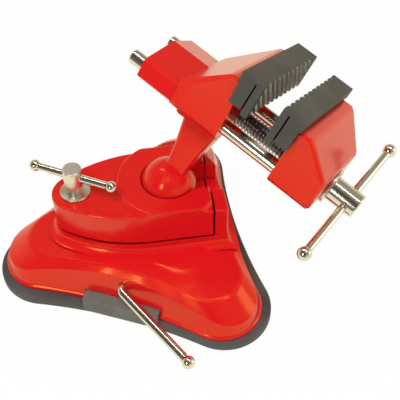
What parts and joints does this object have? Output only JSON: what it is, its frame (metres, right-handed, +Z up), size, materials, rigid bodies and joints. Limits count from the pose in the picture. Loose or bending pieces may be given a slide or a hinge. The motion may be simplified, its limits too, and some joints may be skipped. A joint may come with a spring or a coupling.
{
  "type": "suction base vise",
  "caption": "Small bench vise on a ball joint, held to a smooth bench by a lever-worked suction base.",
  "frame": {"origin": "centre of the rubber pad's flat sole, on the bench top", "axes": "+Z up from the bench; -Y towards the suction lever; +X towards the side the jaws' handle points to"},
  "size_m": [0.2066, 0.1669, 0.1496],
  "materials": {
    "red_paint": "gloss",
    "grey_rubber": "matte",
    "jaw_rubber": "matte",
    "nickel": "polished",
    "zinc_steel": "satin",
    "dark_steel": "satin",
    "brass": "satin"
  },
  "bodies": {
    "base": {"base_casting": "red_paint", "suction_pad": "grey_rubber"},
    "lift": {"lift_plate": "zinc_steel", "lift_yoke": "dark_steel"},
    "lever": {"lever_rod": "nickel", "lever_ball": "nickel", "eccentric_cam": "dark_steel", "cam_pin": "zinc_steel", "shaft_clip": "dark_steel"},
    "seat": {"ball_seat": "dark_steel"},
    "head": {"fixed_body": "red_paint", "fixed_jaw_pad": "jaw_rubber", "screw_nut": "brass"},
    "jaw": {"moving_jaw": "red_paint", "moving_jaw_pad": "jaw_rubber", "guide_rods": "nickel", "rod_screws": "dark_steel", "thrust_washer": "nickel", "collar_washer": "brass"},
    "screw": {"main_screw": "nickel", "screw_collar": "dark_steel"},
    "handle": {"handle_bar": "nickel", "handle_bar_ends": "nickel"},
    "plate": {"clamp_plate": "red_paint"},
    "clamp_foot": {"clamp_washer": "nickel"},
    "clamp_turner": {"clamp_screw": "nickel"},
    "clamp_handle": {"clamp_bar": "nickel", "clamp_bar_ends": "nickel"}
  },
  "joints": [
    {"name": "lever_turn", "type": "hinge", "parent": "base", "child": "lever", "pos_m": [0, 0, 0.022], "axis": [0, -1, 0], "range_deg": [0, 190]},
    {"name": "pad_lift", "type": "slide", "parent": "base", "child": "lift", "axis": [0, 0, 1], "range_m": [0, 0.00255]},
    {"name": "head_swivel", "type": "hinge", "parent": "base", "child": "seat", "pos_m": [0.01088, 0.00507, 0.055], "axis": [0, 0, 1], "range_deg": [-120, 115]},
    {"name": "head_tilt", "type": "hinge", "parent": "seat", "child": "head", "pos_m": [0.01088, 0.00507, 0.055], "axis": [-0.6074, 0.7944, 0], "range_deg": [-45, 10]},
    {"name": "jaw_slide", "type": "slide", "parent": "head", "child": "jaw", "axis": [0.8987, -0.3351, -0.2829], "range_m": [-0.0121, 0.0415]},
    {"name": "main_screw_turn", "type": "hinge", "parent": "jaw", "child": "screw", "pos_m": [0.10845, -0.00512, 0.08384], "axis": [0.8987, -0.3351, -0.2829], "range_deg": [-2179, 7472]},
    {"name": "handle_bar_slide", "type": "slide", "parent": "screw", "child": "handle", "axis": [0.3743, 0.9223, 0.0964], "range_m": [-0.0277, 0.0277]},
    {"name": "clamp_travel", "type": "slide", "parent": "base", "child": "clamp_foot", "axis": [0, 0, 1], "range_m": [0, 0.005]},
    {"name": "clamp_screw_turn", "type": "hinge", "parent": "clamp_foot", "child": "clamp_turner", "pos_m": [-0.03535, -0.01648, 0.057], "axis": [0, 0, 1], "range_deg": [0, 1441]},
    {"name": "clamp_bar_slide", "type": "slide", "parent": "clamp_turner", "child": "clamp_handle", "axis": [0.9971, -0.0767, 0], "range_m": [-0.0138, 0.0138]},
    {"name": "plate_rock", "type": "hinge", "parent": "base", "child": "plate", "pos_m": [0.03063, 0.01428, 0.0534], "axis": [-0.4226, 0.9063, 0], "range_deg": [0, 2.69]}
  ],
  "couplings": [
    {"joint": "pad_lift", "follows": "lever_turn", "m_per_rad": 0.00075389},
    {"joint": "main_screw_turn", "follows": "jaw_slide", "rad_per_m": 3141.6},
    {"joint": "clamp_screw_turn", "follows": "clamp_travel", "rad_per_m": 5026.5},
    {"joint": "plate_rock", "follows": "clamp_travel", "rad_per_m": 9.2}
  ]
}
